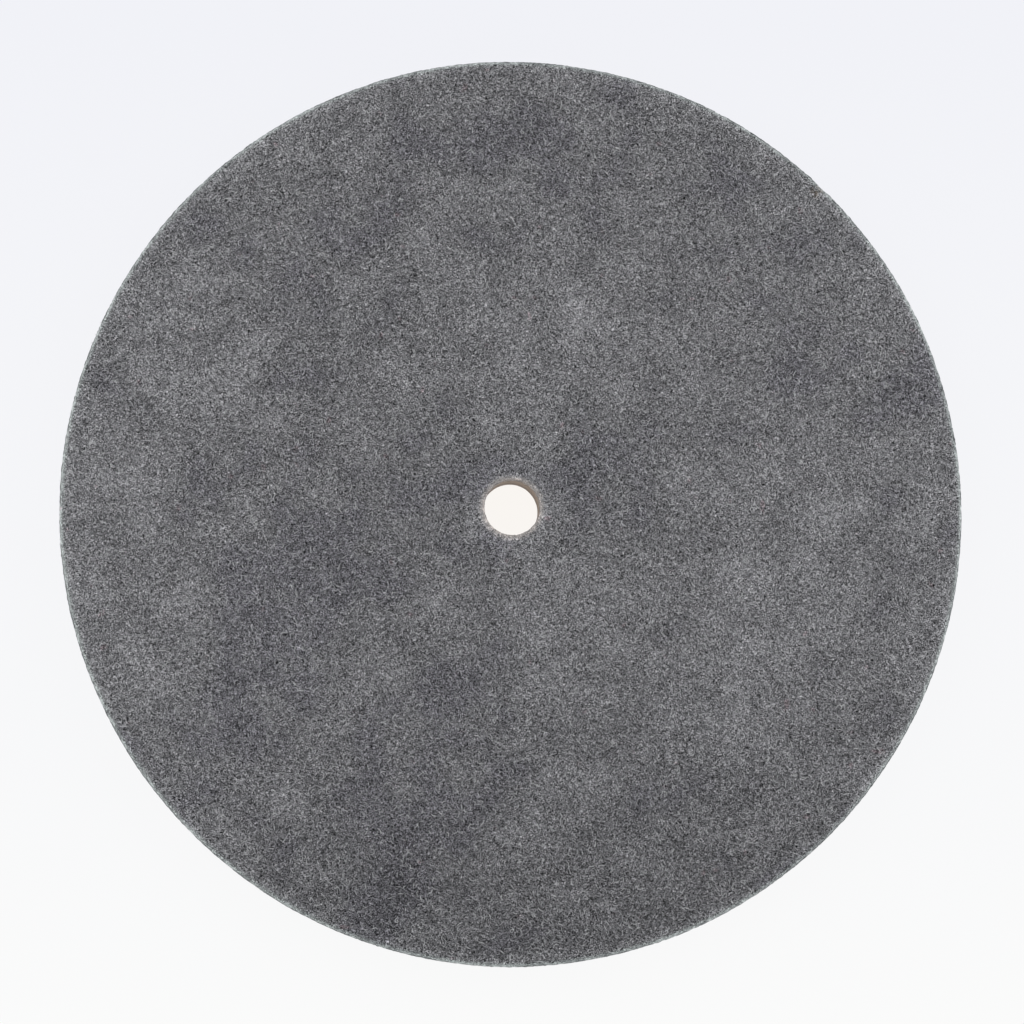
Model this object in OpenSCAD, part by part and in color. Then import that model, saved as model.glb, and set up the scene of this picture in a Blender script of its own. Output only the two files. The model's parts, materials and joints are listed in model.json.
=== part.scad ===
// Felt polishing wheel: a grey felt pad bonded to a stiff disc of brown fibreboard,
// with one plain bore through all of it for the arbor of a lapidary machine.
// The origin is the centre of the back face, and +Z runs along the bore towards
// the polishing face. All sizes are in millimetres.

/* [Wheel] */
// Outer diameter of the felt pad, which is the nominal size of the wheel
wheel_d = 203.2; // [150:0.1:305]
// Diameter of the bore, which slides over the arbor
bore_d = 12.7; // [9:0.1:26]

/* [Felt pad] */
// Thickness of the felt
felt_t = 3.5; // [3:0.1:15]
// Radius that the felt's face rolls over with at its rim
rim_round = 1.1; // [0.3:0.1:2.5]
// Radius that the felt's face rolls over with at its bore
lip_round = 0.3; // [0.2:0.1:2.5]

/* [Adhesive film] */
// Thickness of the bond line
film_t = 0.2; // [0.1:0.05:0.5]

/* [Backing board] */
// Thickness of the board
board_t = 9; // [3:0.1:12]
// How far the board's rim stands back from the felt's rim
board_inset = 0.4; // [0:0.1:2]
// Chamfer round the rim of the back face
rim_chamfer = 0.8; // [0.2:0.1:1.5]
// Chamfer round the bore of the back face
bore_chamfer = 0.4; // [0.2:0.1:1]

/* [Hidden] */

$fn = 180;
wheel_r = wheel_d / 2;
bore_r = bore_d / 2;
board_r = wheel_r - board_inset;
film_z = board_t;
felt_z = film_z + film_t;

// Half of the felt's section: a slab whose two face edges are quarter rounds.
module felt_section() {
    lip_x = bore_r + lip_round;
    rim_x = wheel_r - rim_round;
    translate([lip_x, 0])
        square([rim_x - lip_x, felt_t]);
    translate([bore_r, 0])
        square([lip_round, felt_t - lip_round]);
    translate([lip_x, felt_t - lip_round])
        circle(r = lip_round);
    translate([rim_x, 0])
        square([rim_round, felt_t - rim_round]);
    translate([rim_x, felt_t - rim_round])
        circle(r = rim_round);
}

// Half of the board's section: a slab with both edges of its back face chamfered.
module board_section() {
    polygon([
        [bore_r + bore_chamfer, 0],
        [board_r - rim_chamfer, 0],
        [board_r, rim_chamfer],
        [board_r, board_t],
        [bore_r, board_t],
        [bore_r, bore_chamfer]
    ]);
}

// The working layer, which holds the polish and wears away in use.
module felt_pad() {
    color("dimgray")
        translate([0, 0, felt_z])
            rotate_extrude()
                felt_section();
}

// The cured bond between the felt and the board. The wheel is bored and trimmed
// after it is bonded, so the film runs out flush with the board at both edges.
module adhesive_film() {
    color("goldenrod")
        translate([0, 0, film_z])
            rotate_extrude()
                translate([bore_r, 0])
                    square([board_r - bore_r, film_t]);
}

// The stiff disc that keeps the felt flat and carries the wheel on its arbor.
module backing_board() {
    color("saddlebrown")
        rotate_extrude()
            board_section();
}

felt_pad();
adhesive_film();
backing_board();
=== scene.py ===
import json
import math
from typing import NamedTuple

import bpy
import numpy as np
from mathutils import Matrix, Vector


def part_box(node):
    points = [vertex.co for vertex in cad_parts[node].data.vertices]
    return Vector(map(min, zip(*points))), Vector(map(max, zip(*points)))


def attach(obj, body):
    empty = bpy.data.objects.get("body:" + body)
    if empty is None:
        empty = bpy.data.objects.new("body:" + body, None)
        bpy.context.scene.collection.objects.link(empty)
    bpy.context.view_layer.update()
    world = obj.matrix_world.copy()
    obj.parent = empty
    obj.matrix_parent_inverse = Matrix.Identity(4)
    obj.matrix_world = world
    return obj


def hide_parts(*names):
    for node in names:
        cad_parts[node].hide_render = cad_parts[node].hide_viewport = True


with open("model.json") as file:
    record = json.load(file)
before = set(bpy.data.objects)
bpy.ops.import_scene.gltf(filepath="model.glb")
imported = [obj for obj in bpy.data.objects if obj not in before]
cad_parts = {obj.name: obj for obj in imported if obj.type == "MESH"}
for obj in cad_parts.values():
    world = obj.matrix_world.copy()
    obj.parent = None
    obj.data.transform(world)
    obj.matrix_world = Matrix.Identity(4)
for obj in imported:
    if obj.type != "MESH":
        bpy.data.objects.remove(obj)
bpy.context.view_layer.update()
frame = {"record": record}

# Shapes are in metres, in the frame of the CAD model: the back face lies at z = 0 and the felt's
# polishing face looks up. Inside materials, places are in millimetres.
MM = 0.001
FELT_LOW, FELT_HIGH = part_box("felt_pad")
FILM_LOW, FILM_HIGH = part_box("adhesive_film")
BOARD_LOW, BOARD_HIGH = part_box("backing_board")
MOUNTS = {mount["name"]: mount for mount in frame["record"]["mounts"]}
BORE_R = MOUNTS["arbor_bore"]["dims"]["r_mm"] * MM
FACE_Z = FELT_HIGH.z
WHEEL_R = FELT_HIGH.x
BOARD_R = BOARD_HIGH.x

# The camera hangs over the face, leaning a little to the lower left.
CAMERA_DISTANCE = 0.67
CAMERA_TILT = math.radians(6.1)
CAMERA_LEAN = Vector((-0.46, -0.89, 0)).normalized()
CAMERA_AIM = Vector((-0.06 * MM, -1.08 * MM, FACE_Z))
VIEW_WIDTH = 229.5 * MM
SENSOR = 36.0


# ---------------------------------------------------------------- material nodes

class Graph:
    """A short way to write a material's nodes."""

    def __init__(self, name):
        self.material = bpy.data.materials.new(name)
        self.material.use_nodes = True
        self.tree = self.material.node_tree
        self.tree.nodes.clear()

    def add(self, kind, inputs=None, **settings):
        """A new node. Each of its inputs is given a value or another node's output."""
        made = self.tree.nodes.new(kind)
        for key, value in settings.items():
            setattr(made, key, value)
        for key, value in (inputs or {}).items():
            self.feed(made.inputs[key], value)
        return made

    def feed(self, socket, value):
        if isinstance(value, bpy.types.NodeSocket):
            self.tree.links.new(value, socket)
        else:
            socket.default_value = value

    def place(self, stretch=(1, 1, 1), shift=(0, 0, 0)):
        """The point on the piece, in millimetres."""
        where = self.add("ShaderNodeTexCoord").outputs["Object"]
        scale = tuple(s / MM for s in stretch)
        made = self.add("ShaderNodeMapping", {"Vector": where, "Scale": scale, "Location": shift})
        return made.outputs[0]

    def coordinates(self, place):
        """The x, y and z of a place, and the same place with its z left out."""
        x, y, z = self.add("ShaderNodeSeparateXYZ", {0: place}).outputs
        return x, y, z, self.add("ShaderNodeCombineXYZ", {0: x, 1: y}).outputs[0]

    def distance(self, a, b=(0, 0, 0)):
        made = self.add("ShaderNodeVectorMath", {0: a, 1: b}, operation="DISTANCE")
        return made.outputs["Value"]

    def attribute(self, name):
        return self.add("ShaderNodeAttribute", attribute_name=name).outputs["Fac"]

    def math(self, operation, a, b=0.0, c=0.0, clamp=False):
        made = self.add("ShaderNodeMath", {0: a, 1: b, 2: c}, operation=operation, use_clamp=clamp)
        return made.outputs[0]

    def step(self, value, start, end):
        """0 at start and 1 at end, smooth between them. Either of the two may be the larger."""
        inputs = {0: value, 1: start, 2: end}
        return self.add("ShaderNodeMapRange", inputs, interpolation_type="SMOOTHSTEP").outputs[0]

    def noise(self, at, scale, detail=0.0, roughness=0.5, twist=0.0):
        """Smooth noise from 0 to 1, with scale lumps for each millimetre."""
        inputs = {"Vector": at, "Scale": scale, "Detail": detail, "Roughness": roughness}
        return self.add("ShaderNodeTexNoise", inputs | {"Distortion": twist}).outputs["Fac"]

    def blend(self, factor, a, b, how="MIX"):
        inputs = {0: factor, 6: a, 7: b}
        return self.add("ShaderNodeMix", inputs, data_type="RGBA", blend_type=how).outputs[2]

    def ramp(self, factor, stops):
        made = self.add("ShaderNodeValToRGB", {0: factor})
        points = made.color_ramp.elements
        while len(points) < len(stops):
            points.new(0.5)
        for point, (position, colour) in zip(points, stops):
            point.position = position
            point.color = colour
        return made.outputs[0]

    def bump(self, height, strength, depth):
        inputs = {"Strength": strength, "Distance": depth, "Height": height}
        return self.add("ShaderNodeBump", inputs).outputs[0]

    def principled(self, inputs):
        return self.finish(self.add("ShaderNodeBsdfPrincipled", inputs).outputs[0])

    def finish(self, shader):
        self.add("ShaderNodeOutputMaterial", {"Surface": shader})
        return self.material


def grey(value, blue=0.0):
    """A grey that is a little bluer than neutral or, where blue is below 0, a little warmer."""
    return (value, value, value * (1 + blue), 1)


# ---------------------------------------------------------------- mesh building

# Random values from -1 to 1, one for each corner of a lattice that repeats itself.
LATTICE_SIZE = 32
LATTICE = np.random.default_rng(11).random((LATTICE_SIZE,) * 3) * 2 - 1

# The cut's offset reaches this far in from the rim.
CUT_REACH = 8 * MM


def wave(points, size, shift=0.0):
    """Smooth noise from -1 to 1 at each point, with lumps about size across."""
    scaled = points / size + shift
    base = np.floor(scaled).astype(int)
    part = scaled - base
    part = part * part * (3 - 2 * part)
    total = np.zeros(len(points))
    for corner in np.ndindex(2, 2, 2):
        weight = np.prod(np.where(corner, part, 1 - part), axis=1)
        x, y, z = ((base + corner) % LATTICE_SIZE).T
        total += weight * LATTICE[x, y, z]
    return total


def waves(points, layers):
    """Several layers of noise added up. Each layer is its height, its size and its shift."""
    return sum(height * wave(points, size, shift) for height, size, shift in layers)


def build(name, corners, faces, material):
    mesh = bpy.data.meshes.new(name)
    mesh.from_pydata(corners, [], faces)
    mesh.materials.append(material)
    mesh.shade_smooth()
    piece = bpy.data.objects.new(name, mesh)
    bpy.context.scene.collection.objects.link(piece)
    return piece


def store(piece, name, values):
    """Keeps a number for each point of a piece, for its material to read."""
    piece.data.attributes.new(name, "FLOAT", "POINT").data.foreach_set("value", values)


def around_axis(section, turns):
    """The points of an (r, z) section at each of the turns, as rows of x, y and z."""
    r, z = section.T
    x = np.cos(turns)[:, None] * r
    y = np.sin(turns)[:, None] * r
    return np.stack([x, y, np.tile(z, (len(turns), 1))], -1).reshape(-1, 3)


def spin(name, profile, around, material, shape):
    """A closed body of revolution, whose points are then moved by shape. The profile is its
    section as (r, z) points, going round once."""
    profile = np.array(profile)
    turns = np.arange(around) * 2 * math.pi / around
    along = np.roll(profile, -1, 0) - np.roll(profile, 1, 0)
    along /= np.linalg.norm(along, axis=1)[:, None]
    outward = np.column_stack([along[:, 1], -along[:, 0]])
    corners = shape(around_axis(profile, turns), around_axis(outward, turns))
    n = len(profile)
    i, j = np.meshgrid(np.arange(around), np.arange(n), indexing="ij")
    i2, j2 = (i + 1) % around, (j + 1) % n
    faces = np.stack([i * n + j, i2 * n + j, i2 * n + j2, i * n + j2], -1).reshape(-1, 4)
    return build(name, corners.tolist(), faces.tolist(), material)


def rounded_corner(centre, radius, start, end, count):
    angles = np.radians(np.linspace(start, end, count))
    return [(centre[0] + radius * math.cos(a), centre[1] + radius * math.sin(a)) for a in angles]


def straight(a, b, count):
    """Points from a towards b, without b."""
    return [tuple(np.array(a) + (np.array(b) - np.array(a)) * k / count) for k in range(count)]


def towards_rim(r, rim_r):
    """1 on the rim, falling to 0 well inside it."""
    return np.clip((r - (rim_r - CUT_REACH)) / CUT_REACH, 0, 1) ** 2


def widened(points, r, offset):
    """The points moved outwards by their offsets, where r is how far each is from the axis."""
    grown = 1 + offset / r
    return points * np.stack([grown, grown, np.ones_like(r)], -1)


def mark_rim(piece, rim_r, offset):
    """Stores how far in from the piece's own rim each point lies, in millimetres."""
    corners = np.empty(len(piece.data.vertices) * 3)
    piece.data.vertices.foreach_get("co", corners)
    x, y = corners.reshape(-1, 3).T[:2]
    store(piece, "from_rim", (rim_r + offset(x, y) - np.hypot(x, y)) / MM)


# ---------------------------------------------------------------- camera, floor, light

FLOOR_HALF = 3.0
FLOOR_Z = -0.05 * MM

# The table's light turns from bluish to warm over this many millimetres, from back to front.
# On the disc under the bore it is warmer still: painted warm light, bounced off the bore's tan walls.
TABLE_SPAN = 230
TABLE_BACK = (0.894, 0.902, 0.948, 1)
TABLE_FRONT = (0.982, 0.984, 0.98, 1)
BORE_BOUNCE_PAINTED = (1.0, 0.968, 0.93, 1)
TABLE_GLOW = 0.93
TABLE_MATT = (0.06, 0.06, 0.06, 1)

SURROUND_COLOUR = (0.93, 0.95, 1.0, 1)
SURROUND_STRENGTH = 0.66
SOFTBOX_SIZE = (0.35, 0.45)


def add_camera():
    camera = bpy.data.cameras.new("camera")
    camera.sensor_width = SENSOR
    camera.lens = SENSOR * CAMERA_DISTANCE / VIEW_WIDTH
    camera.clip_start = 0.01
    camera.clip_end = 20
    upward = Vector((0, 0, 1)) * math.cos(CAMERA_TILT)
    position = CAMERA_AIM + CAMERA_DISTANCE * (CAMERA_LEAN * math.sin(CAMERA_TILT) + upward)
    forward = (CAMERA_AIM - position).normalized()
    right = (Vector((1, 0, 0)) - forward * forward.x).normalized()
    turned = Matrix((right, right.cross(forward), -forward)).transposed().to_4x4()
    holder = bpy.data.objects.new("camera", camera)
    holder.matrix_world = Matrix.Translation(position) @ turned
    bpy.context.scene.collection.objects.link(holder)
    bpy.context.scene.camera = holder


def floor_material():
    """A pale glowing table, see-through from below, so that the back can be looked at."""
    graph = Graph("pale_floor")
    place = graph.place()
    y = graph.coordinates(place)[1]
    to_front = graph.math("ADD", graph.math("MULTIPLY", y, -1 / TABLE_SPAN), 0.5, clamp=True)
    light = graph.ramp(to_front, [(0, TABLE_BACK), (1, TABLE_FRONT)])
    # painted reflection: the table is tinted warm under the bore, for light bounced off its tan walls
    painted_bore_bounce = graph.step(graph.distance(place), 16, 7)
    light = graph.blend(painted_bore_bounce, light, BORE_BOUNCE_PAINTED)
    glow = graph.add("ShaderNodeEmission", {"Color": light, "Strength": TABLE_GLOW})
    matt = graph.add("ShaderNodeBsdfDiffuse", {"Color": TABLE_MATT})
    both = graph.add("ShaderNodeAddShader", {0: glow.outputs[0], 1: matt.outputs[0]})
    clear = graph.add("ShaderNodeBsdfTransparent")
    below = graph.add("ShaderNodeNewGeometry").outputs["Backfacing"]
    shader = graph.add("ShaderNodeMixShader", {0: below, 1: both.outputs[0], 2: clear.outputs[0]})
    return graph.finish(shader.outputs[0])


def add_floor():
    ways = ((-1, -1), (1, -1), (1, 1), (-1, 1))
    corners = [(x * FLOOR_HALF, y * FLOOR_HALF, FLOOR_Z) for x, y in ways]
    build("floor", corners, [(0, 1, 2, 3)], floor_material())


def add_softbox(name, position, watts):
    """A lamp that faces the middle of the wheel."""
    lamp = bpy.data.lights.new(name, "AREA")
    lamp.shape = "RECTANGLE"
    lamp.size, lamp.size_y = SOFTBOX_SIZE
    lamp.energy = watts
    box = bpy.data.objects.new(name, lamp)
    box.location = position
    box.rotation_euler = (-Vector(position)).to_track_quat("-Z", "Y").to_euler()
    bpy.context.scene.collection.objects.link(box)


def add_light():
    """A soft surround, with a softbox to the left and to the right, both a little behind."""
    world = bpy.data.worlds.new("studio")
    world.use_nodes = True
    surround = world.node_tree.nodes["Background"]
    surround.inputs["Color"].default_value = SURROUND_COLOUR
    surround.inputs["Strength"].default_value = SURROUND_STRENGTH
    bpy.context.scene.world = world
    add_softbox("softbox_left", (-0.30, 0.12, 0.42), watts=0.40)
    add_softbox("softbox_right", (0.32, 0.12, 0.42), watts=0.35)
    bpy.context.scene.view_settings.view_transform = "Standard"


# ---------------------------------------------------------------- the felt's shape

RIM_ROUND = 1.1 * MM
LIP_ROUND = 0.2 * MM
BONDED = 0.3 * MM

# The wheel was cut out by hand, so it is a little oval and a little off the centre of its bore.
OVAL = 0.33 * MM
OVAL_ANGLE = math.radians(83.6)
OFF_CENTRE = (0.39 * MM, -0.07 * MM)

NICK_ANGLE = math.radians(46)
NICK_DEPTH = 0.22 * MM
NICK_WIDTH = 1.2 * MM

# Layers of waves, each as its height, its size and its shift.
RIM_FRAY = ((0.08 * MM, 22 * MM, 3.1), (0.03 * MM, 5 * MM, 7.7))
FELT_RELIEF = ((0.05 * MM, 9 * MM, 1.3), (0.05 * MM, 3.1 * MM, 5.9), (0.04 * MM, 1.3 * MM, 9.2))


def cut_offset(angle):
    """How far the rim that was cut stands out from a true circle, at each angle."""
    off_centre = OFF_CENTRE[0] * np.cos(angle) + OFF_CENTRE[1] * np.sin(angle)
    return OVAL * np.cos(2 * (angle - OVAL_ANGLE)) + off_centre


def rim_offset(x, y):
    """The felt's rim is cut with the board's, and then frays unevenly. It has one nick."""
    angle = np.arctan2(y, x)
    ring = np.stack([np.cos(angle), np.sin(angle), np.zeros_like(angle)], -1) * WHEEL_R
    from_nick = np.abs((angle - NICK_ANGLE + math.pi) % (2 * math.pi) - math.pi) * WHEEL_R
    nick = NICK_DEPTH * np.exp(-(from_nick / NICK_WIDTH) ** 2)
    return cut_offset(angle) + waves(ring, RIM_FRAY) - nick


def shape_felt(corners, outward):
    """Gives the felt its cut rim, and its napped relief wherever it isn't bonded down."""
    x, y, z = corners.T
    r = np.hypot(x, y)
    moved = widened(corners, r, rim_offset(x, y) * towards_rim(r, WHEEL_R))
    free = (z >= FELT_LOW.z + BONDED).astype(float)
    return moved + outward * (waves(corners, FELT_RELIEF) * free)[:, None]


def felt_profile():
    inner, outer, top, low = BORE_R, WHEEL_R, FACE_Z, FELT_LOW.z
    section = straight((inner, low), (outer, low), 6)
    section += straight((outer, low), (outer, top - RIM_ROUND), 9)
    section += rounded_corner((outer - RIM_ROUND, top - RIM_ROUND), RIM_ROUND, 0, 90, 6)
    section += straight((outer - RIM_ROUND, top), (inner + LIP_ROUND, top), 112)[1:]
    section += rounded_corner((inner + LIP_ROUND, top - LIP_ROUND), LIP_ROUND, 90, 180, 4)
    section += straight((inner, top - LIP_ROUND), (inner, low), 8)[1:]
    return section


# ---------------------------------------------------------------- the felt's look

# Curly lines, as the scale and the width of each layer, and what each layer is shifted by.
LIGHT_LINES = ((1.4, 0.045), (1.9, 0.05), (2.5, 0.055))
DARK_LINES = ((1.5, 0.045), (2.1, 0.05))
LAYER_SHIFT = (17.3, -9.1, 4.7)

# The scales of the noises, from the finest to the broadest.
GRAIN = 3.4
PATCHES = 0.3
CLOUDS = 0.09
BROAD_CLOUDS = 0.025

# Tones are display values, and a lift is what a part of the felt is paler by. Painted shade makes
# the face darker towards its lower end, which lies the way that LOWER_WAY points, and painted light
# makes it a little paler towards its sides.
BASE_TONE = 0.328
LOWER_WAY = (0.15, -0.99)
# The two lifts at the rim are painted light, for the table's light glowing through the frayed edge.
NEAR_RIM_PAINTED_LIGHT = 0.13
RIM_PAINTED_LIGHT = 0.54
# The lifts round the lip and on the bore's wall are painted light.
ROUND_LIP_PAINTED_LIGHT = 0.075
LIP_PAINTED_LIGHT = 0.40
BORE_PAINTED_LIGHT = 0.22
SOILED_LIFT = -0.16
DARKEST = 0.02
PALEST = 0.95
DISPLAY_POWER = 2.2

FELT_TINT = (1.019, 1.0, 1.009, 1)
BLUISH_TINT = (1.03, 1.0, 1.058, 1)
RIM_GLOW_TINT = (0.945, 1.03, 0.97, 1)
LIP_TINT = (1.07, 0.99, 0.93, 1)
BORE_TINT = (1.11, 0.99, 0.90, 1)
SOILED_TINT = (1.14, 0.99, 0.85, 1)
STAIN_TINT = (1.12, 0.94, 0.97, 1)

# In millimetres: the middle of the pale ring of painted light round the bore, and how far in from the
# rim the soiled spot by the nick lies.
PALE_RING_CENTRE = (-0.15, -0.22, 0)
SOILED_INSET = 1.3


def line_layers(graph, layers):
    """Curly lines where smooth noises cross their middle value: 1 on a line and 0 off it."""
    lines = None
    for number, (scale, width) in enumerate(layers):
        shifted = graph.place(shift=tuple(part * number for part in LAYER_SHIFT))
        field = graph.noise(shifted, scale, detail=1.0, twist=0.8)
        away = graph.math("ABSOLUTE", graph.math("SUBTRACT", field, 0.5))
        line = graph.math("SUBTRACT", 1.0, graph.math("DIVIDE", away, width), clamp=True)
        lines = line if lines is None else graph.math("MAXIMUM", lines, line)
    return lines


def weighted(graph, start, parts):
    """start plus each part's weight times how far its value is from its middle."""
    total = start
    for value, middle, weight in parts:
        from_middle = graph.math("SUBTRACT", value, middle)
        total = graph.math("ADD", total, graph.math("MULTIPLY", from_middle, weight))
    return total


def felt_tone(graph, place, x, y):
    """How light the felt looks, how far its fibres stand up, and where it is dark enough to look
    bluish."""
    lines = line_layers(graph, LIGHT_LINES)
    gaps = line_layers(graph, DARK_LINES)
    grain = graph.noise(place, GRAIN)
    patches = graph.noise(place, PATCHES, detail=1.0)
    clouds = graph.noise(place, CLOUDS, detail=1.0)
    broad = graph.noise(place, BROAD_CLOUDS, detail=1.0)
    # painted shade darkens the face towards its lower end, and painted light makes it paler towards
    # its sides
    lower = graph.math("MULTIPLY_ADD", x, LOWER_WAY[0], graph.math("MULTIPLY", y, LOWER_WAY[1]))
    painted_shade_low = graph.step(lower, 35, 100)
    painted_light_sides = graph.step(graph.math("ABSOLUTE", x), 25, 90)
    tone = weighted(graph, BASE_TONE, (  # each with its middle value and its weight
        (lines, 0.35, 0.74), (gaps, 0.2, -0.24), (grain, 0.5, 0.64),
        (patches, 0.5, 0.07), (clouds, 0.5, 0.26), (broad, 0.5, 0.24),
        (painted_shade_low, 0.0, -0.065), (painted_light_sides, 0.0, 0.022)))
    raised = graph.math("ADD", graph.math("MULTIPLY", lines, 0.6), graph.math("MULTIPLY", grain, 0.4))
    bluish = graph.step(graph.math("ADD", clouds, broad), 0.98, 0.76)
    return tone, raised, bluish


def painted_rim_light(graph, z, tone, tint):
    """Painted light: a thin pale line, slightly green, on the face's shoulder along the cut rim, for
    light glowing through the frayed edge.
    """
    from_rim = graph.attribute("from_rim")
    shoulder = graph.step(z, FACE_Z / MM - 1.9, FACE_Z / MM - 0.9)
    near_rim = graph.step(from_rim, 3.4, -0.4)
    at_rim = graph.step(from_rim, 0.9, -0.1)
    lift = graph.math("MULTIPLY", near_rim, NEAR_RIM_PAINTED_LIGHT)
    lift = graph.math("MULTIPLY_ADD", at_rim, RIM_PAINTED_LIGHT, lift)
    lift = graph.math("MULTIPLY", lift, graph.math("MULTIPLY_ADD", shoulder, 0.9, 0.1))
    faded = graph.math("MULTIPLY", graph.step(from_rim, 1.5, -0.1), shoulder)
    return graph.math("ADD", tone, lift), graph.blend(faded, tint, RIM_GLOW_TINT)


def bore_tint_and_painted_light(graph, flat, tone, tint):
    """Painted light makes the felt paler round the bore, most of all at its lip, and on the bore's
    wall. The warm tan tint there is the felt's own colour.
    """
    bore = BORE_R / MM
    from_worn = graph.distance(flat, PALE_RING_CENTRE)
    near_lip = graph.step(from_worn, bore + 1.6, bore - 0.1)
    round_lip = graph.step(from_worn, bore + 7, bore + 1)
    in_bore = graph.step(graph.distance(flat), bore + 0.3, bore + 0.05)
    lift = graph.math("MULTIPLY", near_lip, LIP_PAINTED_LIGHT)
    lift = graph.math("MULTIPLY_ADD", round_lip, ROUND_LIP_PAINTED_LIGHT, lift)
    lift = graph.math("MULTIPLY_ADD", in_bore, BORE_PAINTED_LIGHT, lift)
    tint = graph.blend(near_lip, tint, LIP_TINT)
    return graph.math("ADD", tone, lift), graph.blend(in_bore, tint, BORE_TINT)


def soiled_look(graph, place, flat, tone, tint):
    """A dark, brownish spot by the nick in the rim."""
    to_nick = Vector((math.cos(NICK_ANGLE), math.sin(NICK_ANGLE), 0))
    spot = (WHEEL_R / MM - SOILED_INSET) * to_nick
    near_spot = graph.step(graph.distance(flat, spot), 2.0, 0.5)
    ragged = graph.step(graph.noise(place, 0.8), 0.35, 0.55)
    soiled = graph.math("MULTIPLY", near_spot, ragged)
    tone = graph.math("MULTIPLY_ADD", soiled, SOILED_LIFT, tone)
    return tone, graph.blend(soiled, tint, SOILED_TINT)


def tinted(graph, tone, tint):
    """The surface colour that shows as this tone, with a tint."""
    shown = graph.math("MINIMUM", graph.math("MAXIMUM", tone, DARKEST), PALEST)
    return graph.blend(1.0, tint, graph.math("POWER", shown, DISPLAY_POWER), "MULTIPLY")


def felt_material():
    """Grey needled felt, with a few small pinkish stains."""
    graph = Graph("felt")
    place = graph.place()
    x, y, z, flat = graph.coordinates(place)
    tone, raised, bluish = felt_tone(graph, place, x, y)
    tint = graph.blend(bluish, FELT_TINT, BLUISH_TINT)
    tone, tint = painted_rim_light(graph, z, tone, tint)
    tone, tint = bore_tint_and_painted_light(graph, flat, tone, tint)
    tone, tint = soiled_look(graph, place, flat, tone, tint)
    stain = graph.step(graph.noise(graph.place(shift=(40, 11, 0)), 0.42), 0.80, 0.88)
    tint = graph.blend(stain, tint, STAIN_TINT)
    return graph.principled({
        "Base Color": tinted(graph, tone, tint), "Roughness": 0.95, "Specular IOR Level": 0.15,
        "Sheen Weight": 0.25, "Sheen Roughness": 0.5,
        "Normal": graph.bump(raised, strength=0.6, depth=0.12 * MM)})


def add_felt():
    felt = spin("felt_body", felt_profile(), 680, felt_material(), shape_felt)
    mark_rim(felt, WHEEL_R, rim_offset)
    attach(felt, "root")
    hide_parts("felt_pad")


# ---------------------------------------------------------------- loose fibres

# Each fibre is a path of this many points, with three sides, and narrows towards its ends.
FIBRE_POINTS = 6
FIBRE_SIDES = np.radians((90, 210, 330))
FIBRE_TAPER = 0.18
FIBRE_SHADES = ((0.0, grey(0.09, 0.04)), (0.5, grey(0.34, 0.02)), (1.0, grey(0.95, -0.02)))
RIM_FIBRE_TINT = (0.97, 1.01, 0.99, 1)
LIP_FIBRE_TINT = (1.06, 1.0, 0.95, 1)

# The nap on the face. Its lengths are in millimetres.
NAP_SECTORS = 8
NAP_COUNT = 5400
NAP_SEED = 100
NAP_LENGTH = (0.7, 1.9)
NAP_THICKNESS = (0.09, 0.16)
NAP_LIFT = (-0.01, 0.09)
NAP_ARCH = (0.02, 0.12)
NAP_BEND = 1.8
NAP_SPREAD = 1.4

FUZZ_SEED = 40
FUZZ_THICKNESS = (0.08, 0.15)
FELT_SIDE = FACE_Z - FELT_LOW.z - RIM_ROUND
BORE_SIDE = FACE_Z - FELT_LOW.z - LIP_ROUND


class Fuzz(NamedTuple):
    """Loose fibres over one cut edge of the felt, in metres."""
    name: str
    count: int
    wall_r: float       # radius of the wall that was cut
    corner: float       # radius of the rounded corner over it
    reach_down: float   # the fibres start from this far below the corner
    reach_in: float     # to this far past the corner, on the face
    length: tuple
    slant: float        # how much they stray from running round the wheel, in radians
    loft: float         # how far they stand off the felt
    tones: tuple


EDGE_FUZZ = (
    Fuzz("rim_fuzz", 4000, WHEEL_R, RIM_ROUND, reach_down=0.6 * MM, reach_in=-0.2 * MM,
         length=(0.5 * MM, 1.8 * MM), slant=0.8, loft=0.06 * MM, tones=(0.35, 0.85)),
    Fuzz("side_fuzz", 6000, WHEEL_R, RIM_ROUND, reach_down=FELT_SIDE, reach_in=-RIM_ROUND,
         length=(0.8 * MM, 2.6 * MM), slant=0.35, loft=0.1 * MM, tones=(0.1, 0.6)),
    Fuzz("lip_fuzz", 700, BORE_R, LIP_ROUND, reach_down=0.8 * MM, reach_in=0.5 * MM,
         length=(0.4 * MM, 1.4 * MM), slant=0.9, loft=0.1 * MM, tones=(0.4, 0.85)),
    Fuzz("bore_fuzz", 400, BORE_R, LIP_ROUND, reach_down=BORE_SIDE, reach_in=-LIP_ROUND,
         length=(0.5 * MM, 1.6 * MM), slant=0.5, loft=0.1 * MM, tones=(0.45, 0.9)))


def fibre_material(name, tint):
    """Fibres whose shade is the tone that is stored on each."""
    graph = Graph(name)
    shade = graph.ramp(graph.attribute("tone"), FIBRE_SHADES)
    return graph.principled({
        "Base Color": graph.blend(1.0, shade, tint, "MULTIPLY"), "Roughness": 0.9,
        "Specular IOR Level": 0.2, "Sheen Weight": 0.2})


def curl(rng, middle, heading, length, bend):
    """Curled paths over the face, one row of points for each fibre, from its middle and heading."""
    count = len(middle)
    steady = rng.normal(0, bend, count)[:, None]
    drift = np.cumsum(rng.normal(0, bend * 0.7, (count, FIBRE_POINTS - 1)), axis=1)
    pace = (length / (FIBRE_POINTS - 1))[:, None]
    turned = heading[:, None] + (steady * np.arange(FIBRE_POINTS - 1) + drift) * pace / MM
    steps = np.stack([np.cos(turned) * pace, np.sin(turned) * pace], -1)
    path = np.concatenate([np.zeros((count, 1, 2)), np.cumsum(steps, axis=1)], axis=1)
    return middle[:, None, :] + path - path.mean(1, keepdims=True)


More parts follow.
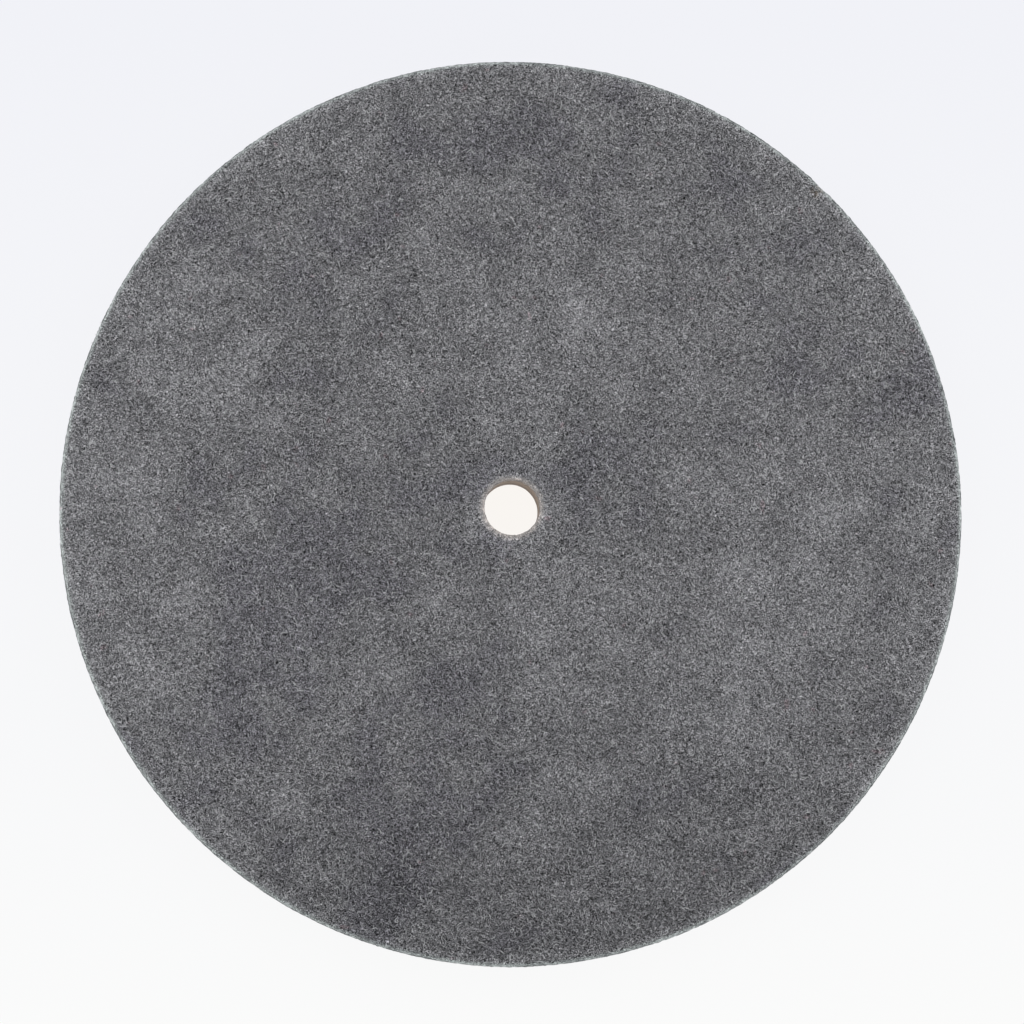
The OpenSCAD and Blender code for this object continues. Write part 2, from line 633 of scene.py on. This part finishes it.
def strand_corners(paths, thickness):
    """Three corners round each point of each path."""
    along = np.gradient(paths, axis=1)
    along /= np.linalg.norm(along, axis=2, keepdims=True)
    side = np.cross(along, (0.0, 0.0, 1.0))
    side /= np.linalg.norm(side, axis=2, keepdims=True) + 1e-9
    over = np.cross(side, along)
    taper = np.sin(np.linspace(FIBRE_TAPER, math.pi - FIBRE_TAPER, FIBRE_POINTS)) ** 0.5
    radius = thickness[:, None, None] / 2 * taper[None, :, None]
    rings = [paths + radius * (side * math.cos(a) + over * math.sin(a)) for a in FIBRE_SIDES]
    return np.stack(rings, axis=2).reshape(-1, 3)


def strand_faces(count):
    """The sides and the two end caps of each strand, all facing outwards."""
    n = FIBRE_POINTS
    first = (np.arange(count) * n * 3)[:, None]
    quads = []
    for k in range(n - 1):
        for a in range(3):
            b = (a + 1) % 3
            quads.append(first + [3 * k + a, 3 * k + 3 + a, 3 * k + 3 + b, 3 * k + b])
    caps = [first + [0, 1, 2], first + [3 * n - 1, 3 * n - 2, 3 * n - 3]]
    return np.concatenate(quads).tolist() + np.concatenate(caps).tolist()


def add_strands(name, paths, thickness, tones, material):
    """One thin closed strand along each path of points."""
    corners = strand_corners(paths, thickness)
    piece = build(name, corners.tolist(), strand_faces(len(paths)), material)
    store(piece, "tone", np.repeat(tones, FIBRE_POINTS * 3))
    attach(piece, "root")


def nap_paths(rng, sector):
    """Curled fibres spread evenly over one sector of the face, lying on its relief."""
    angle = (sector + rng.random(NAP_COUNT)) * 2 * math.pi / NAP_SECTORS
    inner, outer = BORE_R + 0.6 * MM, WHEEL_R - 1.0 * MM
    radius = np.sqrt(inner**2 + rng.random(NAP_COUNT) * (outer**2 - inner**2))
    middle = np.stack([np.cos(angle) * radius, np.sin(angle) * radius], -1)
    length = rng.uniform(*NAP_LENGTH, NAP_COUNT) * MM
    heading = rng.uniform(0, 2 * math.pi, NAP_COUNT)
    flat = curl(rng, middle, heading, length, NAP_BEND)
    spread = flat.reshape(-1, 2)
    on_face = np.column_stack([spread, np.full(len(spread), FACE_Z)])
    ground = (FACE_Z + waves(on_face, FELT_RELIEF)).reshape(NAP_COUNT, -1)
    lift = rng.uniform(*NAP_LIFT, NAP_COUNT)[:, None] * MM
    bow = np.sin(np.linspace(0, math.pi, FIBRE_POINTS))[None, :]
    arch = bow * rng.uniform(*NAP_ARCH, NAP_COUNT)[:, None] * MM
    return np.concatenate([flat, (ground + lift + arch)[:, :, None]], axis=2)


def add_nap():
    """Curled fibres matted over the face, one piece for each sector of it."""
    material = fibre_material("fibre", (1.0, 1.0, 1.0, 1))
    for sector in range(NAP_SECTORS):
        rng = np.random.default_rng(NAP_SEED + sector)
        paths = nap_paths(rng, sector)
        tones = rng.beta(NAP_SPREAD, NAP_SPREAD, NAP_COUNT)
        thickness = rng.uniform(*NAP_THICKNESS, NAP_COUNT) * MM
        add_strands(f"felt_nap_{sector + 1}", paths, thickness, tones, material)


def unrolled_paths(rng, fuzz):
    """Where fibres lie on a felt edge laid out flat: the angle round the wheel, how far up from the
    foot of the rounded corner, and how far off the felt."""
    spread = np.linspace(-0.5, 0.5, FIBRE_POINTS)[None, :]
    bow = np.sin(np.linspace(0, math.pi, FIBRE_POINTS))[None, :]
    run = rng.uniform(*fuzz.length, fuzz.count)[:, None]
    lean = rng.normal(0, fuzz.slant, fuzz.count)[:, None]
    sway = rng.normal(0, 0.25, fuzz.count)[:, None] * bow * run
    highest = fuzz.corner * math.pi / 2 + fuzz.reach_in
    climb = rng.uniform(-fuzz.reach_down, highest, fuzz.count)[:, None]
    climb = climb + spread * run * np.sin(lean) + sway * np.cos(lean)
    strayed = (spread * run * np.cos(lean) - sway * np.sin(lean)) / fuzz.wall_r
    around = rng.random(fuzz.count)[:, None] * 2 * math.pi + strayed
    ends = rng.uniform(-0.04 * MM, fuzz.loft / 2, fuzz.count)[:, None]
    standoff = ends + bow * rng.uniform(0, fuzz.loft, fuzz.count)[:, None]
    return around, climb, standoff


def edge_paths(rng, fuzz):
    """Short fibres that lie over a cut edge of the felt and run mostly round the wheel."""
    around, climb, standoff = unrolled_paths(rng, fuzz)
    outward = 1 if fuzz.wall_r > WHEEL_R / 2 else -1
    corner = fuzz.corner
    turn = np.clip(climb / corner, 0, math.pi / 2)
    onto_face = np.maximum(climb - corner * math.pi / 2, 0)
    past_corner = (corner + standoff) * np.cos(turn) - onto_face
    radius = fuzz.wall_r - outward * corner + outward * past_corner
    height = FACE_Z - corner + (corner + standoff) * np.sin(turn) + np.minimum(climb, 0)
    x, y = np.cos(around) * radius, np.sin(around) * radius
    if outward > 0:
        grown = 1 + rim_offset(x.ravel(), y.ravel()).reshape(x.shape) / radius
        x, y = x * grown, y * grown
    return np.stack([x, y, np.maximum(height, FELT_LOW.z + 0.15 * MM)], -1)


def add_edge_fuzz():
    """Loose fibres over the rim and the bore, where the felt was cut."""
    rim_fibre = fibre_material("rim_fibre", RIM_FIBRE_TINT)
    lip_fibre = fibre_material("lip_fibre", LIP_FIBRE_TINT)
    for number, fuzz in enumerate(EDGE_FUZZ):
        rng = np.random.default_rng(FUZZ_SEED + number)
        paths = edge_paths(rng, fuzz)
        thickness = rng.uniform(*FUZZ_THICKNESS, fuzz.count) * MM
        tones = rng.uniform(*fuzz.tones, fuzz.count)
        material = rim_fibre if fuzz.wall_r > WHEEL_R / 2 else lip_fibre
        add_strands(fuzz.name, paths, thickness, tones, material)


# ---------------------------------------------------------------- adhesive film

FILM_BEAD = 0.12 * MM
FILM_EDGE = 0.3 * MM
FILM_LIP = 0.05 * MM
FILM_SQUEEZE = ((0.16 * MM, 14 * MM, 2.2), (0.08 * MM, 2.3 * MM, 8.1))
FILM_COLOURS = ((0.3, (0.16, 0.075, 0.02, 1)), (0.7, (0.42, 0.25, 0.09, 1)))


def shape_film(corners, outward):
    """The glue was squeezed out a little further in some places than in others."""
    x, y = corners.T[:2]
    r = np.hypot(x, y)
    at_edge = r > BOARD_R - 0.5 * MM
    squeezed = waves(corners, FILM_SQUEEZE)
    return widened(corners, r, at_edge * (squeezed + cut_offset(np.arctan2(y, x))))


def film_profile():
    """A thin sheet with a rounded bead at the rim."""
    low, high = FILM_LOW.z, FILM_HIGH.z
    middle, half = (low + high) / 2, (high - low) / 2
    angles = np.radians((-80, -45, 0, 45, 80))
    bead = [(BOARD_R + FILM_BEAD * math.cos(a), middle + half * math.sin(a)) for a in angles]
    inwards = [BOARD_R - FILM_EDGE, WHEEL_R * 0.6, BORE_R + FILM_LIP]
    under = [(r, low) for r in reversed(inwards)]
    over = [(r, high) for r in inwards]
    return under + bead + over + [(BORE_R, middle)]


def film_material():
    """Dried contact adhesive: amber, glossy where it is thick."""
    graph = Graph("adhesive")
    place = graph.place()
    thick = graph.noise(place, 0.35, detail=2.0, roughness=0.6)
    dimples = graph.noise(place, 1.4, detail=2.0, roughness=0.6)
    return graph.principled({
        "Base Color": graph.ramp(thick, FILM_COLOURS),
        "Roughness": graph.ramp(thick, [(0.35, grey(0.5)), (0.65, grey(0.22))]),
        "Specular IOR Level": 0.5,
        "Normal": graph.bump(dimples, strength=0.4, depth=0.05 * MM)})


def add_film():
    film = spin("glue_line", film_profile(), 720, film_material(), shape_film)
    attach(film, "root")
    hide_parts("adhesive_film")


# ---------------------------------------------------------------- backing board

EDGE_ROUND = 0.8 * MM
BORE_ROUND = 0.4 * MM
TOP_CHAMFER = 0.15 * MM
EDGE_ZONE = 1.2 * MM
BACK_ZONE = 0.05 * MM
BOARD_RELIEF = ((0.012 * MM, 1.1 * MM, 3.7), (0.02 * MM, 4 * MM, 6.3))
PIT_DEPTH = 0.025 * MM
SAW_DEPTH = 0.03 * MM
SAW_PITCH = 0.55 * MM
DENT_DEPTH = 0.5 * MM
DENT_SIZE = 5.5 * MM
FLANGE_R = 19 * MM
FLANGE_DEPTH = 0.05 * MM
FLANGE_WIDTH = 0.5 * MM

FLECK_COLOURS = (
    (0.28, (0.15, 0.098, 0.062, 1)), (0.5, (0.235, 0.16, 0.105, 1)), (0.75, (0.34, 0.245, 0.165, 1)))
PALE_CHIP = (0.42, 0.31, 0.21, 1)
DARK_CHIP = (0.12, 0.075, 0.045, 1)
DARK_CLOUD = (0.13, 0.085, 0.055, 1)
SAWN_COLOURS = ((0.3, (0.36, 0.285, 0.225, 1)), (0.7, (0.60, 0.50, 0.41, 1)))
# painted shade deep in the bore, towards the back
BORE_PAINTED_SHADE = (0.16, 0.115, 0.09, 1)
FLANGE_RUB = (0.1, 0.08, 0.065, 1)


def board_relief(corners):
    """How far the pressed fibres stand up on the board, with shallow pits between them."""
    pits = np.minimum(wave(corners, 2.4 * MM, 12.9) + 0.45, 0)
    return waves(corners, BOARD_RELIEF) + PIT_DEPTH * pits


def shape_board(corners, outward):
    """Adds saw marks round the edge, small dents along its corners and a print of the flange."""
    x, y, z = corners.T
    r = np.hypot(x, y)
    angle = np.arctan2(y, x)
    on_edge = r > BOARD_R - EDGE_ZONE
    on_back = z < BOARD_LOW.z + BACK_ZONE
    saw = on_edge * SAW_DEPTH * np.sin(z / SAW_PITCH + 3 * np.sin(angle * 5))
    dents = on_edge * DENT_DEPTH * np.clip(wave(corners, DENT_SIZE, 15.2) - 0.55, 0, 1)
    flange = on_back * FLANGE_DEPTH * np.exp(-((r - FLANGE_R) / FLANGE_WIDTH) ** 2)
    moved = corners + outward * (board_relief(corners) - saw - dents - flange)[:, None]
    moved = widened(moved, r, cut_offset(angle) * towards_rim(r, BOARD_R))
    moved[:, 2] = np.maximum(moved[:, 2], BOARD_LOW.z)
    return moved


def board_profile():
    inner, outer, low, top = BORE_R, BOARD_R, BOARD_LOW.z, BOARD_HIGH.z
    under_top = top - TOP_CHAMFER
    section = rounded_corner((outer - EDGE_ROUND, low + EDGE_ROUND), EDGE_ROUND, -90, 0, 5)
    section += straight((outer, low + EDGE_ROUND), (outer, under_top), 12)[1:]
    section += [(outer, under_top), (outer - TOP_CHAMFER, top)]
    section += straight((outer - TOP_CHAMFER, top), (inner + TOP_CHAMFER, top), 4)[1:]
    section += [(inner + TOP_CHAMFER, top), (inner, under_top)]
    section += straight((inner, under_top), (inner, low + BORE_ROUND), 10)[1:]
    section += rounded_corner((inner + BORE_ROUND, low + BORE_ROUND), BORE_ROUND, 180, 270, 4)
    section += straight((inner + BORE_ROUND, low), (outer - EDGE_ROUND, low), 84)[1:]
    return section


def pressed_colour(graph, place, fleck):
    """Brown pressed fibres, with pale and dark chips among them, and darker clouds."""
    chip = graph.noise(graph.place(shift=(5, 3, 8)), 0.75, detail=2.0, roughness=0.6, twist=1.6)
    clouds = graph.noise(place, 0.05, detail=3.0, roughness=0.6)
    colour = graph.ramp(fleck, FLECK_COLOURS)
    colour = graph.blend(graph.step(chip, 0.56, 0.7), colour, PALE_CHIP)
    colour = graph.blend(graph.step(chip, 0.42, 0.3), colour, DARK_CHIP)
    clouded = graph.math("MULTIPLY", graph.step(clouds, 0.42, 0.66), 0.35)
    return graph.blend(clouded, colour, DARK_CLOUD)


def sawn_colour_and_painted_shade(graph, z, radius, colour):
    """The outer edge and the bore are paler where they were cut, in layers along the board. Painted
    shade makes the bore darker towards the back, deep in the hole."""
    outer_edge = graph.step(graph.attribute("from_rim"), 0.75, 0.3)
    off_bore = graph.step(radius, BORE_R / MM + 0.15, BORE_R / MM + 0.5)
    bore_edge = graph.math("SUBTRACT", 1.0, off_bore)
    sawn = graph.math("MAXIMUM", outer_edge, bore_edge)
    layer = graph.noise(graph.place(stretch=(0.25, 0.25, 3.0)), 0.9, detail=2.0, roughness=0.6)
    colour = graph.blend(sawn, colour, graph.ramp(layer, SAWN_COLOURS))
    # painted shade: the bore's wall darkens towards the back, where less light reaches
    painted_shade = graph.math("MULTIPLY", bore_edge, graph.step(z, 7, 1))
    return graph.blend(graph.math("MULTIPLY", painted_shade, 0.75), colour, BORE_PAINTED_SHADE)


def flange_look(graph, place, radius, colour):
    """The machine's flange has rubbed a faint dark ring on the back."""
    off_ring = graph.math("ABSOLUTE", graph.math("SUBTRACT", radius, FLANGE_R / MM))
    ring = graph.math("SUBTRACT", 1.0, graph.step(off_ring, 0.3, 1.6))
    uneven = graph.math("MULTIPLY_ADD", graph.noise(place, 0.06), 0.5, 0.1)
    return graph.blend(graph.math("MULTIPLY", ring, uneven), colour, FLANGE_RUB)


def board_material():
    """Pressed brown fibreboard, with sawn edges and a rubbed ring on its back."""
    graph = Graph("board")
    place = graph.place()
    z, flat = graph.coordinates(place)[2:]
    radius = graph.distance(flat)
    fleck = graph.noise(place, 1.5, detail=3.0, roughness=0.65, twist=0.4)
    colour = pressed_colour(graph, place, fleck)
    colour = sawn_colour_and_painted_shade(graph, z, radius, colour)
    colour = flange_look(graph, place, radius, colour)
    return graph.principled({
        "Base Color": colour, "Specular IOR Level": 0.3,
        "Roughness": graph.ramp(fleck, [(0.3, grey(0.62)), (0.7, grey(0.82))]),
        "Normal": graph.bump(fleck, strength=0.35, depth=0.06 * MM)})


def add_board():
    board = spin("board_body", board_profile(), 720, board_material(), shape_board)
    mark_rim(board, BOARD_R, lambda x, y: cut_offset(np.arctan2(y, x)))
    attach(board, "root")
    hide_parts("backing_board")


add_camera()
add_floor()
add_light()
add_felt()
add_nap()
add_edge_fuzz()
add_film()
add_board()
